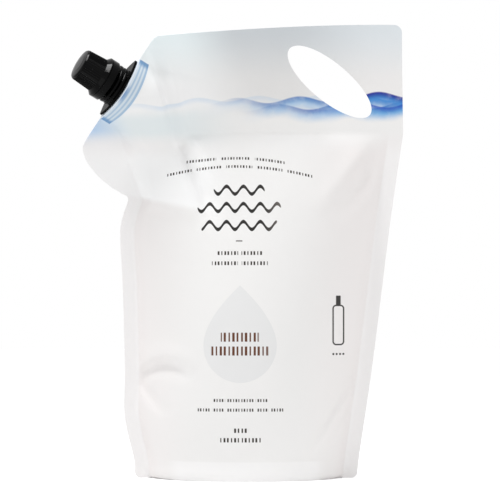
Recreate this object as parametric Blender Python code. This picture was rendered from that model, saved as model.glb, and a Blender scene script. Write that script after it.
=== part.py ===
"""Two-litre refill pouch: a filled stand-up film pack with a corner spout and a screw cap.

The pack stands on the XY plane, its width along X and its front towards -Y. The film is
drawn as an outline in the XZ plane and then lifted to a front and a back panel. The spout,
its tamper band and its cap are turned about one axis, which leans out of the top left corner.
"""
import math

import bmesh
import bpy
from mathutils import Matrix, Vector
from mathutils.geometry import delaunay_2d_cdt

MM = 0.001

# Film pack
HALF_WIDTH = 120.5 * MM          # half the flat width of the film
POUCH_HEIGHT = 340 * MM          # floor to the top edge at the right
HEADER_HEIGHT = 82 * MM          # flat welded header above the filled body
FILM = 0.6 * MM                  # two layers welded together
SIDE_SEAL = 10.5 * MM
BASE_HALF_WIDTH = 78.8 * MM
BASE_CORNER_RUN = 4.6 * MM       # from a bottom corner to where its side starts
BASE_CORNER_RISE = 5.2 * MM
TOP_CORNER_RADIUS = 6 * MM
SPOUT_CORNER_RADIUS = 12 * MM
TOP_EDGE_FALL = 0.022            # slope of the flat film's top edge, down towards the spout
NECK_DROP = 131 * MM             # pinch below the ear, measured down from the top
NECK_INSET = 32 * MM
EAR_TIP_DROP = 90.3 * MM
# Share of the way from the ear's tip to the neck, and how far its edge bows out there
EAR_STATIONS = ((0.0, 0.0), (0.2, 4.8 * MM), (0.45, 6.0 * MM), (0.7, 4.2 * MM),
                (0.88, 1.2 * MM))
# Share of the height up to the neck, and how far the left edge is pulled in there
LEFT_STATIONS = ((0.07, 36.5 * MM), (0.22, 29.7 * MM), (0.39, 29.7 * MM), (0.68, 28.1 * MM),
                 (0.86, 26.1 * MM), (0.93, 27.6 * MM))
# Share of the body's height, and how far the right edge is pulled in there
RIGHT_STATIONS = ((0.09, 34.8 * MM), (0.31, 26.4 * MM), (0.55, 18.5 * MM), (0.75, 12.0 * MM),
                  (1.0, 2.5 * MM))
TOP_RIGHT_INSET = 3.5 * MM

# How far the middle of each panel stands out, at shares of the filled body's height
DEPTH_STATIONS = ((0.0, 43.0 * MM), (0.06, 43.6 * MM), (0.2, 46.4 * MM), (0.43, 43.0 * MM),
                  (0.66, 32.5 * MM), (0.83, 20.5 * MM), (0.95, 8.5 * MM), (1.0, 0.0))
BASE_FULLNESS = 0.62             # power of the cross-section at the floor
BODY_FULLNESS = 0.85             # and higher up, where it is closer to two arcs
FULL_SHARE = 0.35                # share of the body's height where that is reached
CHAMBER_WIDENING = 0.36          # slope of the chamber's side from the neck to the spout
CHANNEL_SPREAD = 0.35            # how the channel below the boat widens
CHANNEL_FADE = 38 * MM           # and how far down it reaches
FOLD_EASE = 9 * MM               # folds fade where the filling is thinner than this

# Base
SKIRT_RIM = 1.2 * MM             # width of the standing edge
SKIRT_STEP = 1.5 * MM            # run of the gusset's rise behind it
GUSSET_LIFT = 3.5 * MM           # the gusset's film behind that edge
BELLY_LENGTH = 104 * MM          # flat patch on which the contents rest
BELLY_DEPTH = 44 * MM
BELLY_BLEND = 0.45               # run of the rise around it, as a share of its size

# Hand hole through the header
HOLE_LONG = 39.4 * MM            # half axes of its ellipse
HOLE_SHORT = 14.3 * MM
HOLE_INSET = 58 * MM
HOLE_DROP = 43 * MM
HOLE_TILT = math.radians(-39.2)
HOLE_SIDES = 36

# Spout corner
SPOUT_INSET = 25.1 * MM          # middle of the welded edge, on the flat film
SPOUT_DROP = 46.9 * MM
SPOUT_EDGE_ANGLE = math.radians(57.3)
LEAN_ANGLE = math.radians(22.9)  # how far that corner is rolled forward
LEAN_HEADING = math.radians(119.5)
LEAN_START = 94 * MM             # from the spout back to where the roll begins
LEAN_LENGTH = 65 * MM            # length of film that is curved

# Folds of the film: start and end as X and Z, how deep and how wide, and the panel
FOLDS = (
    ((-64, 306), (-30, 210), -2.6, 9.0, "front"),
    ((-88, 210), (-48, 196), -3.5, 7.0, "front"),
    ((103, 250), (72, 206), -3.0, 8.0, "front"),
    ((-76, 78), (-50, 84), -4.5, 9.0, "front"),
    ((82, 70), (58, 32), -2.6, 8.0, "front"),
    ((-86, 212), (-40, 190), -3.0, 8.0, "back"),
    ((100, 246), (60, 200), -3.0, 9.0, "back"),
    ((-40, 250), (-60, 214), -2.4, 9.0, "back"),
)

# Spout, band and cap: heights are measured along the axis from the top of the boat's plate
CLEARANCE = 0.3 * MM
BOAT_LENGTH = 48 * MM
BOAT_WIDTH = 25 * MM
BOAT_TIP = 0.8 * MM              # thickness left at each end of the boat
BOAT_HEIGHT = 12 * MM
BOAT_MARGIN = 2 * MM             # of film past the boat's ends and below it
WELD_WALL = 0.6 * MM             # film over the boat
PLATE_THICKNESS = 1.6 * MM
PLATE_SHOW = 0.5 * MM            # gap between the film's edge and the plate
SOCKET_TOP = 6 * MM              # the film is cut open this far above the plate
WELD_RIB = 0.5 * MM
WELD_RIB_COUNT = 3
BOAT_SIDES = 12                  # facets along each of its curved sides
BORE_RADIUS = 7.5 * MM
NECK_RADIUS = 9.4 * MM
NECK_TOP = 31.2 * MM
NECK_CHAMFER = 0.4 * MM
FLANGE_RADIUS = 15.1 * MM
FLANGE_STARTS = (1.4 * MM, 4.7 * MM)
FLANGE_THICKNESS = 1.8 * MM
RETAINER_RADIUS = 13.4 * MM
RETAINER_START = 10.4 * MM
RETAINER_THICKNESS = 1.8 * MM
THREAD_PITCH = 4.0 * MM
THREAD_HEIGHT = 1.1 * MM
THREAD_WIDTH = 1.2 * MM          # of one ridge at half its height
THREAD_START = 18.0 * MM
THREAD_TURNS = 2.0
THREAD_TAPER = 0.3               # turns over which each end runs out
THREAD_STEPS = 6                 # rings along one turn
THREAD_CLEARANCE = 0.4 * MM

BAND_RADIUS = 15.85 * MM
BAND_START = 8.5 * MM
BAND_TOP = 14.0 * MM
BAND_WALL = 1.4 * MM
BAND_LIP_RADIUS = 12.6 * MM
BAND_LIP_THICKNESS = 1.4 * MM
BAND_LIP_SLOPE = 0.6 * MM
BAND_CHAMFER = 0.3 * MM
BRIDGE_GAP = 0.4 * MM            # torn open when the cap is first turned

CAP_RADIUS = 13.1 * MM           # at the flare
CAP_END_RADIUS = 12.2 * MM
CAP_FOOT = 0.8 * MM              # straight foot below the flare
CAP_FLARE = 2.6 * MM
CAP_EDGE_RADIUS = 2.0 * MM
CAP_ROOF = 2.6 * MM
CAP_DOME = 0.6 * MM
GRIP_RIBS = 48
GRIP_DEPTH = 0.4 * MM
GRIP_RUN_IN = 0.5 * MM
PLUG_DEPTH = 4.0 * MM
PLUG_WALL = 1.3 * MM
PLUG_LEAD = 0.4 * MM             # lead-in chamfer, and its height
PLUG_LEAD_HEIGHT = 1.0 * MM

# Triangles of the meshes
PANEL_STEP = 8 * MM              # on the film
SPOUT_STEP = 4.5 * MM            # and around the boat
UNDERSIDE_STEP = 6.4 * MM
EDGE_CLEARANCE = 0.6             # of a free point from an edge, in steps
RIM_CLEARANCE = 4.7 * MM
CURVE_STEP = 4 * MM
SEAL_LINE_OFFSETS = (-0.5 * MM, 4 * MM)
SEAL_LINE_START = 9 * MM         # above the floor
SEAL_LINE_END = 12 * MM          # below the header
HEADER_LINE_START = -42 * MM
MERGE_DISTANCE = 0.02 * MM
TURNED_SIDES = GRIP_RIBS


def clear_scene():
    for item in list(bpy.data.objects):
        bpy.data.objects.remove(item)


def plastic(name, colour, roughness):
    """A Principled material of one colour."""
    material = bpy.data.materials.new(name)
    material.use_nodes = True
    shader = material.node_tree.nodes["Principled BSDF"]
    shader.inputs["Base Color"].default_value = (*colour, 1.0)
    shader.inputs["Roughness"].default_value = roughness
    shader.inputs["Metallic"].default_value = 0.0
    material.diffuse_color = (*colour, 1.0)
    return material


def add_object(name, mesh_data, material, frame=None):
    """A new object from a bmesh, with its faces pointing out and its round sides smooth."""
    bmesh.ops.recalc_face_normals(mesh_data, faces=mesh_data.faces)
    mesh = bpy.data.meshes.new(name)
    mesh_data.to_mesh(mesh)
    mesh_data.free()
    mesh.shade_smooth()
    mesh.set_sharp_from_angle(angle=math.radians(40))
    item = bpy.data.objects.new(name, mesh)
    bpy.context.scene.collection.objects.link(item)
    if material:
        mesh.materials.append(material)
    if frame:
        item.matrix_world = frame
    return item


# Outline of the film, as points (x, z)

def smooth_curve(points, step):
    """Points about a step apart on a Catmull-Rom curve through the given ones."""
    ends = [points[0] * 2 - points[1]] + list(points) + [points[-1] * 2 - points[-2]]
    curve = []
    for before, start, end, after in zip(ends, ends[1:], ends[2:], ends[3:]):
        pieces = max(1, round((end - start).length / step))
        for number in range(pieces):
            t = number / pieces
            curve.append(0.5 * (2 * start + (end - before) * t
                                + (2 * before - 5 * start + 4 * end - after) * t ** 2
                                + (3 * start - before - 3 * end + after) * t ** 3))
    return curve + [points[-1]]


def straight(start, end, step):
    pieces = max(1, round((end - start).length / step))
    return [start.lerp(end, number / pieces) for number in range(pieces + 1)]


def rounded_corner(before, corner, after, radius, pieces=4):
    """The arc that rounds a corner between two straight neighbours."""
    to_before = (before - corner).normalized()
    to_after = (after - corner).normalized()
    half = to_before.angle(to_after) / 2
    reach = radius / math.tan(half)
    centre = corner + (to_before + to_after).normalized() * radius / math.sin(half)
    first = corner + to_before * reach - centre
    last = corner + to_after * reach - centre
    turn = first.angle_signed(last)
    arc = []
    for number in range(pieces + 1):
        spoke = first.copy()
        spoke.rotate(Matrix.Rotation(-turn * number / pieces, 2))
        arc.append(centre + spoke)
    return arc


def header_point(inset, drop, side=-1):
    """A place given from the film's flat edge and from the top of the pack."""
    return Vector((side * (HALF_WIDTH - inset), POUCH_HEIGHT - drop))


SPOUT_MIDDLE = header_point(SPOUT_INSET, SPOUT_DROP)
SPOUT_ALONG = Vector((math.cos(SPOUT_EDGE_ANGLE), math.sin(SPOUT_EDGE_ANGLE)))
SPOUT_INWARD = Vector((SPOUT_ALONG.y, -SPOUT_ALONG.x))
LEAN_DIRECTION = Vector((math.cos(LEAN_HEADING), math.sin(LEAN_HEADING)))
BODY_TOP = POUCH_HEIGHT - HEADER_HEIGHT
NECK = header_point(NECK_INSET, NECK_DROP)
TOP_RIGHT = Vector((HALF_WIDTH - TOP_RIGHT_INSET, POUCH_HEIGHT))


def edge_line_at(height):
    """The cut corner's straight edge, at a given height."""
    return SPOUT_MIDDLE + SPOUT_ALONG * (height - SPOUT_MIDDLE.y) / SPOUT_ALONG.y


def top_left_corner():
    """Where the cut corner's edge meets the sloping top edge."""
    rise = TOP_RIGHT.y - SPOUT_MIDDLE.y - TOP_EDGE_FALL * (TOP_RIGHT.x - SPOUT_MIDDLE.x)
    return SPOUT_MIDDLE + SPOUT_ALONG * rise / (SPOUT_ALONG.y - TOP_EDGE_FALL * SPOUT_ALONG.x)


def left_side():
    """From the ear's tip down past the neck to the base, pulled in by the filling."""
    tip = edge_line_at(POUCH_HEIGHT - EAR_TIP_DROP)
    outwards = -(NECK - tip).orthogonal().normalized()
    ear = [tip + (NECK - tip) * share + outwards * bow for share, bow in EAR_STATIONS]
    sides = [Vector((inset - HALF_WIDTH, NECK.y * share)) for share, inset in LEFT_STATIONS]
    base = Vector((-BASE_HALF_WIDTH - BASE_CORNER_RUN, BASE_CORNER_RISE))
    return smooth_curve(ear + [NECK] + sides[::-1] + [base], PANEL_STEP)


def right_side():
    """From the base up to the header, and straight on to the top corner."""
    base = Vector((BASE_HALF_WIDTH + BASE_CORNER_RUN, BASE_CORNER_RISE))
    sides = [Vector((HALF_WIDTH - inset, BODY_TOP * share)) for share, inset in RIGHT_STATIONS]
    corner = rounded_corner(sides[-1], TOP_RIGHT, top_left_corner(), TOP_CORNER_RADIUS)
    header = straight(sides[-1], corner[0], PANEL_STEP)
    return smooth_curve([base] + sides, PANEL_STEP) + header[1:] + corner[1:]


def film_outline():
    """The film's whole outline, anticlockwise from the left base corner."""
    base = straight(Vector((-BASE_HALF_WIDTH, 0)), Vector((BASE_HALF_WIDTH, 0)), PANEL_STEP)
    right = right_side()
    left = left_side()
    corner = rounded_corner(right[-1], top_left_corner(), left[0], SPOUT_CORNER_RADIUS)
    top = straight(right[-1], corner[0], PANEL_STEP)[1:]
    spout_edge = straight(corner[-1], left[0], SPOUT_STEP)[1:]
    return base, right, top + corner[1:] + spout_edge, left[1:]


def hand_hole():
    """The ellipse of the hand hole."""
    centre = header_point(HOLE_INSET, HOLE_DROP, side=1)
    turn = Matrix.Rotation(HOLE_TILT, 2)
    ring = []
    for number in range(HOLE_SIDES):
        angle = math.tau * number / HOLE_SIDES
        spoke = Vector((HOLE_LONG * math.cos(angle), HOLE_SHORT * math.sin(angle)))
        ring.append(centre + turn @ spoke)
    return ring


def value_at(curve, place):
    """Straight-line reading of a curve given as points (place, value) in rising order."""
    for start, end in zip(curve, curve[1:]):
        if place <= end[0]:
            share = (place - start[0]) / max(end[0] - start[0], 1e-9)
            return start[1] + (end[1] - start[1]) * max(0.0, share)
    return curve[-1][1]


# Depth of the pack

class FilmShape:
    """The middle surface of the pack and the half depth of its filling."""

    def __init__(self):
        _, right, _, left = film_outline()
        self.right = [(0.0, BASE_HALF_WIDTH)] + [(point.y, point.x) for point in right]
        self.left = [(0.0, -BASE_HALF_WIDTH)] + [(point.y, point.x) for point in reversed(left)]
        stations = [Vector((share * BODY_TOP, depth)) for share, depth in DEPTH_STATIONS]
        self.depths = [tuple(point) for point in smooth_curve(stations, CURVE_STEP)]
        self.lean_from = SPOUT_MIDDLE - LEAN_DIRECTION * LEAN_START

    def chamber_sides(self, height):
        """The inner lines of the two side seals."""
        above_neck = max(0.0, height - NECK.y)
        left = value_at(self.left, min(height, NECK.y)) + SIDE_SEAL - CHAMBER_WIDENING * above_neck
        right = value_at(self.right, height) - SIDE_SEAL
        return left, right

    def body_depth(self, x, height):
        if height >= BODY_TOP:
            return 0.0
        left, right = self.chamber_sides(height)
        across = (2 * x - left - right) / (right - left)
        if abs(across) >= 1:
            return 0.0
        settled = min(1.0, height / (FULL_SHARE * BODY_TOP))
        power = BASE_FULLNESS + (BODY_FULLNESS - BASE_FULLNESS) * settled
        return max(0.0, value_at(self.depths, height)) * (1 - across ** 2) ** power

    def channel_depth(self, x, height):
        """The film stretched over the boat, and the way down from it into the body."""
        place = Vector((x, height)) - SPOUT_MIDDLE
        along = place.dot(SPOUT_ALONG)
        inward = max(0.0, place.dot(SPOUT_INWARD))
        past_boat = max(0.0, inward - BOAT_HEIGHT - BOAT_MARGIN)
        half_length = BOAT_LENGTH / 2 + BOAT_MARGIN + CHANNEL_SPREAD * past_boat
        if abs(along) >= half_length:
            return 0.0
        depth = BOAT_WIDTH / 2 + WELD_RIB + CLEARANCE + WELD_WALL
        fade = math.exp(-(past_boat / CHANNEL_FADE) ** 2)
        return depth * fade * (1 - (along / half_length) ** 2)

    def half_depth(self, x, height):
        return math.hypot(self.body_depth(x, height), self.channel_depth(x, height)) + FILM / 2

    def middle(self, x, height):
        """Where a place of the flat film lies once its corner is rolled forward, and its normal."""
        place = Vector((x, height))
        ahead = (place - self.lean_from).dot(LEAN_DIRECTION)
        radius = LEAN_LENGTH / LEAN_ANGLE
        angle = min(max(ahead, 0.0), LEAN_LENGTH) / radius
        past = max(0.0, ahead - LEAN_LENGTH)
        level = min(ahead, 0.0) + radius * math.sin(angle) + past * math.cos(angle)
        forward = radius * (1 - math.cos(angle)) + past * math.sin(angle)
        place -= LEAN_DIRECTION * (ahead - level)
        tilt = LEAN_DIRECTION * math.sin(angle)
        return Vector((place.x, -forward, place.y)), Vector((tilt.x, math.cos(angle), tilt.y))

    def fold_depth(self, x, height, panel):
        """How far the folds push a panel, eased out towards the sealed margins."""
        push = 0.0
        for start, end, depth, width, side in FOLDS:
            if side != panel:
                continue
            start, end = Vector(start) * MM, Vector(end) * MM
            run = end - start
            share = (Vector((x, height)) - start).dot(run) / run.length_squared
            nearest = start + run * min(max(share, 0.0), 1.0)
            away = (Vector((x, height)) - nearest).length / (width * MM)
            push += depth * MM * math.exp(-away ** 2)
        return push * min(1.0, self.body_depth(x, height) / FOLD_EASE)

    def panel_point(self, x, height, panel):
        point, normal = self.middle(x, height)
        depth = self.half_depth(x, height) + self.fold_depth(x, height, panel)
        return point + normal * (depth if panel == "back" else -depth)


# Meshing

def is_inside(point, ring):
    """Whether a point lies inside a closed ring of points."""
    crossings = 0
    for start, end in zip(ring, ring[1:] + ring[:1]):
        if (start.y > point.y) != (end.y > point.y):
            reach = start.x + (end.x - start.x) * (point.y - start.y) / (end.y - start.y)
            crossings += reach > point.x
    return crossings % 2 == 1


def clear_of(point, rings, distance):
    return all((point - other).length > distance for ring in rings for other in ring)


def triangles_between(outline, holes, creases, inner_points):
    """Triangles that fill an outline around its holes and keep its creases as edges."""
    points, edges = [], []
    for ring in [outline] + holes:
        first = len(points)
        points += ring
        edges += [(first + n, first + (n + 1) % len(ring)) for n in range(len(ring))]
    for crease in creases:
        first = len(points)
        points += crease
        edges += [(first + n, first + n + 1) for n in range(len(crease) - 1)]
    points += inner_points
    within_edges = 1
    points, _, faces, *_ = delaunay_2d_cdt(points, edges, [], within_edges, 1e-7)
    kept = []
    for face in faces:
        middle = sum((points[n] for n in face), Vector((0, 0))) / len(face)
        if not any(is_inside(middle, hole) for hole in holes):
            kept.append(tuple(face))
    return points, kept


def grid_points(low, high, step):
    """Points of a grid whose rows are shifted in turn, for even triangles."""
    rows = int((high.y - low.y) / (step * 0.87))
    columns = int((high.x - low.x) / step)
    return [Vector((low.x + step * (column + 0.5 * (row % 2)), low.y + step * 0.87 * row))
            for row in range(rows + 1) for column in range(columns + 1)]


def seal_lines(shape):
    """Where the filled body starts: along both side seals and under the header."""
    heights = [point.x for point in straight(Vector((SEAL_LINE_START, 0)),
                                             Vector((BODY_TOP - SEAL_LINE_END, 0)), PANEL_STEP)]
    lines = []
    for inset in SEAL_LINE_OFFSETS:
        lines.append([Vector((shape.chamber_sides(height)[0] + inset, height))
                      for height in heights if height < NECK.y])
        lines.append([Vector((shape.chamber_sides(height)[1] - inset, height))
                      for height in heights])
    lines.append(straight(Vector((HEADER_LINE_START, BODY_TOP)),
                          Vector((lines[-1][-1].x - PANEL_STEP, BODY_TOP)), PANEL_STEP))
    return lines


def panel_points(outline, hole, creases):
    """Points over the whole film, closer together around the boat."""
    low, high = Vector((-POUCH_HEIGHT / 2, 0)), Vector((POUCH_HEIGHT / 2, POUCH_HEIGHT))
    spout_zone = BOAT_LENGTH * 0.75
    points = []
    for step, wanted in ((PANEL_STEP, False), (SPOUT_STEP, True)):
        for point in grid_points(low, high, step):
            near_spout = (point - SPOUT_MIDDLE).length < spout_zone
            if (near_spout == wanted and is_inside(point, outline)
                    and not is_inside(point, hole)
                    and clear_of(point, [outline, hole] + creases, EDGE_CLEARANCE * step)):
                points.append(point)
    return points


def underside_height(x, y, rim_distance):
    """The gusset film: lifted just behind the standing edge, down on the floor in the middle."""
    belly = math.hypot(x / (BELLY_LENGTH / 2), y / (BELLY_DEPTH / 2))
    rise = min(max((belly - 1) / BELLY_BLEND, 0.0), 1.0)
    behind = min(max((rim_distance - SKIRT_RIM) / SKIRT_STEP, 0.0), 1.0)
    return GUSSET_LIFT * rise ** 2 * (3 - 2 * rise) * behind


def underside(mesh_data, front, back):
    """Closes the pack between the bottom edges of its panels."""
    ring = [Vector((point.x, point.y)) for point in front + back[::-1]]
    limit = max(abs(point.y) for point in ring)
    inner = []
    for point in grid_points(Vector((-BASE_HALF_WIDTH, -limit)), Vector((BASE_HALF_WIDTH, limit)),
                             UNDERSIDE_STEP):
        if is_inside(point, ring) and clear_of(point, [ring], RIM_CLEARANCE):
            inner.append(point)
    steps = []
    for inset in (SKIRT_RIM, SKIRT_RIM + SKIRT_STEP):
        line = [Vector((point.x, point.y - math.copysign(inset, point.y)))
                for point in ring if abs(point.y) > RIM_CLEARANCE]
        steps.append(line + line[:1])
    points, faces = triangles_between(ring, [], steps, inner)
    edge_depth = {round(point.x, 6): abs(point.y) for point in front}
    depth_curve = sorted(edge_depth.items())
    corners = []
    for point in points:
        rim_distance = value_at(depth_curve, point.x) - abs(point.y)
        corners.append(mesh_data.verts.new(
            (point.x, point.y, underside_height(point.x, point.y, rim_distance))))
    for face in faces:
        mesh_data.faces.new([corners[n] for n in face])


def film_mesh(shape):
    """The closed pack: two panels, their joined edges, the hand hole and the base."""
    base, right, top, left = film_outline()
    outline = base + right + top + left
    hole = hand_hole()
    creases = seal_lines(shape)
    points, faces = triangles_between(outline, [hole], creases,
                                      panel_points(outline, hole, creases))
    mesh_data = bmesh.new()
    for panel in ("front", "back"):
        corners = [mesh_data.verts.new(shape.panel_point(point.x, point.y, panel))
                   for point in points]
        for face in faces:
            mesh_data.faces.new([corners[n] for n in face])
    for ring in (right + top + left, hole):
        loop = ring + ring[:1] if ring is hole else base[-1:] + ring + base[:1]
        front = [mesh_data.verts.new(shape.panel_point(p.x, p.y, "front")) for p in loop]
        back = [mesh_data.verts.new(shape.panel_point(p.x, p.y, "back")) for p in loop]
        for corner in range(len(loop) - 1):
            mesh_data.faces.new((front[corner], front[corner + 1], back[corner + 1], back[corner]))
    underside(mesh_data, [shape.panel_point(p.x, p.y, "front") for p in base],
              [shape.panel_point(p.x, p.y, "back") for p in base])
    bmesh.ops.remove_doubles(mesh_data, verts=mesh_data.verts, dist=MERGE_DISTANCE)
    bmesh.ops.triangulate(mesh_data, faces=mesh_data.faces)
    return mesh_data


def spout_frame(shape):
    """The turned pieces' frame: Z out along the axis, X along the welded edge."""
    low, _ = shape.middle(*(SPOUT_MIDDLE - SPOUT_ALONG * BOAT_LENGTH / 4))
    high, _ = shape.middle(*(SPOUT_MIDDLE + SPOUT_ALONG * BOAT_LENGTH / 4))
    middle, normal = shape.middle(*SPOUT_MIDDLE)
    along = (high - low).normalized()
    axis = along.cross(normal).normalized()
    origin = middle + axis * (PLATE_THICKNESS + PLATE_SHOW)
    columns = Matrix((along, axis.cross(along), axis)).transposed()
    return Matrix.Translation(origin) @ columns.to_4x4()


# Turned pieces, each a stack of rings about the local Z axis

def circle(radius, height, count=TURNED_SIDES):
    return [Vector((radius * math.cos(math.tau * n / count), radius * math.sin(math.tau * n / count),
                    height)) for n in range(count)]


def join_rings(mesh_data, rings, closed):
    """Faces between neighbouring rings; a ring may have twice its neighbour's points."""
    rows = [[mesh_data.verts.new(point) for point in ring] for ring in rings]
    pairs = list(zip(rows, rows[1:])) + ([(rows[-1], rows[0])] if closed else [])
    for lower, upper in pairs:
        if len(lower) == len(upper):
            for n in range(len(lower)):
                after = (n + 1) % len(lower)
                mesh_data.faces.new((lower[n], lower[after], upper[after], upper[n]))
            continue
        fine, coarse = (lower, upper) if len(lower) > len(upper) else (upper, lower)
        for n in range(len(coarse)):
            after = (n + 1) % len(coarse)
            middle, last = fine[2 * n + 1], fine[(2 * n + 2) % len(fine)]
            mesh_data.faces.new((fine[2 * n], middle, coarse[n]))
            mesh_data.faces.new((middle, last, coarse[after]))
            mesh_data.faces.new((middle, coarse[after], coarse[n]))
    return rows


def thread_share(angle, height, start):
    """0 between the turns of a thread and 1 on its crest, tapered at both ends."""
    turns = (height - start) / THREAD_PITCH
    offset = (turns - angle / math.tau + 0.5) % 1.0 - 0.5
    flank = 1.5 - abs(offset) * THREAD_PITCH * 2 / THREAD_WIDTH
    ends = min(turns, THREAD_TURNS - turns) / THREAD_TAPER + 1
    return min(1.0, max(0.0, flank)) * min(1.0, max(0.0, ends))


def thread_rings(radius, height_of_ridge, start, upwards=True):
    """Rings along a threaded stretch; a negative ridge is an inner thread."""
    step = THREAD_PITCH / THREAD_STEPS
    run_out = round(THREAD_TAPER * THREAD_STEPS)
    count = round(THREAD_TURNS * THREAD_STEPS) + 2 * run_out
    rings = []
    for number in range(count + 1):
        height = start + step * (number - run_out)
        ring = []
        for n in range(TURNED_SIDES):
            angle = math.tau * n / TURNED_SIDES
            reach = radius + height_of_ridge * thread_share(angle, height, start)
            ring.append(Vector((reach * math.cos(angle), reach * math.sin(angle), height)))
        rings.append(ring)
    return rings if upwards else rings[::-1]


def lens(half_length, half_width, height):
    """A boat-shaped ring, pointed at both ends of the local X axis."""
    ring = []
    for side in (-1, 1):
        for number in range(BOAT_SIDES + 1):
            share = side * (2 * number / BOAT_SIDES - 1)
            width = BOAT_TIP / 2 + (half_width - BOAT_TIP / 2) * (1 - share ** 2)
            ring.append(Vector((half_length * share * -1, -side * width, height)))
    return ring


def lens_prism(half_length, half_width, bottom, top):
    mesh_data = bmesh.new()
    rows = join_rings(mesh_data, [lens(half_length, half_width, bottom),
                                  lens(half_length, half_width, top)], closed=False)
    for row in rows:
        mesh_data.faces.new(row)
    return mesh_data


def add_boolean(item, other, operation):
    modifier = item.modifiers.new(other.name, "BOOLEAN")
    modifier.operation = operation
    modifier.object = other
    modifier.solver = "EXACT"
    other.hide_render = True
    other.display_type = "WIRE"


def weld_rib(number):
    """Bottom and top of one of the ribs that the film is welded to."""
    pitch = (BOAT_HEIGHT - PLATE_THICKNESS) / WELD_RIB_COUNT
    bottom = -BOAT_HEIGHT + pitch * (number + 0.25)
    return bottom, bottom + pitch / 2


def boat_mesh():
    """The welded foot of the spout: a ribbed boat under a thin plate."""
    half_length, half_width = BOAT_LENGTH / 2, BOAT_WIDTH / 2
    mesh_data = bmesh.new()
    inner = (half_length - WELD_RIB * 2, half_width - WELD_RIB)
    rings = [lens(*inner, -BOAT_HEIGHT)]
    for number in range(WELD_RIB_COUNT):
        bottom, top = weld_rib(number)
        rings += [lens(*inner, bottom), lens(half_length, half_width, bottom),
                  lens(half_length, half_width, top), lens(*inner, top)]
    rings += [lens(*inner, -PLATE_THICKNESS), lens(half_length, half_width, -PLATE_THICKNESS),
              lens(half_length, half_width, 0)]
    rows = join_rings(mesh_data, rings, closed=False)
    mesh_data.faces.new(rows[0])
    mesh_data.faces.new(rows[-1])
    return mesh_data


def collar(radius, start, thickness):
    """Rings of one collar around the neck, with a chamfered upper edge."""
    chamfer = thickness / 4
    return [circle(NECK_RADIUS, start), circle(radius, start),
            circle(radius, start + thickness - chamfer),
            circle(radius - chamfer, start + thickness), circle(NECK_RADIUS, start + thickness)]


def neck_mesh():
    """The pouring tube with its flanges, the band's retainer and the thread."""
    mesh_data = bmesh.new()
    foot = -BOAT_HEIGHT / 2
    rings = [circle(NECK_RADIUS, foot)]
    for start in FLANGE_STARTS:
        rings += collar(FLANGE_RADIUS, start, FLANGE_THICKNESS)
    rings += collar(RETAINER_RADIUS, RETAINER_START, RETAINER_THICKNESS)
    rings += thread_rings(NECK_RADIUS, THREAD_HEIGHT, THREAD_START)
    rings += [circle(NECK_RADIUS, NECK_TOP - NECK_CHAMFER),
              circle(NECK_RADIUS - NECK_CHAMFER, NECK_TOP)]
    rows = join_rings(mesh_data, rings, closed=False)
    mesh_data.faces.new(rows[0])
    mesh_data.faces.new(rows[-1])
    return mesh_data


def bore_mesh():
    mesh_data = bmesh.new()
    rows = join_rings(mesh_data, [circle(BORE_RADIUS, -BOAT_HEIGHT - 1 * MM),
                                  circle(BORE_RADIUS, NECK_TOP + 1 * MM)], closed=False)
    for row in rows:
        mesh_data.faces.new(row)
    return mesh_data


def band_mesh():
    """The tamper band, held under the neck's retainer by its inner lip."""
    inner = BAND_RADIUS - BAND_WALL
    lip_top = BAND_START + BAND_LIP_THICKNESS
    mesh_data = bmesh.new()
    join_rings(mesh_data, [
        circle(BAND_LIP_RADIUS, BAND_START), circle(BAND_RADIUS - BAND_CHAMFER, BAND_START),
        circle(BAND_RADIUS, BAND_START + BAND_CHAMFER), circle(BAND_RADIUS, BAND_TOP),
        circle(inner, BAND_TOP), circle(inner, lip_top + BAND_LIP_SLOPE),
        circle(BAND_LIP_RADIUS, lip_top)], closed=True)
    return mesh_data


def ribbed_ring(radius, height):
    """The grip: the cap's outer wall as fine upright ribs."""
    ring = []
    for n in range(2 * GRIP_RIBS):
        reach = radius - (GRIP_DEPTH if n % 2 else 0.0)
        angle = math.tau * n / (2 * GRIP_RIBS)
        ring.append(Vector((reach * math.cos(angle), reach * math.sin(angle), height)))
    return ring


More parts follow.
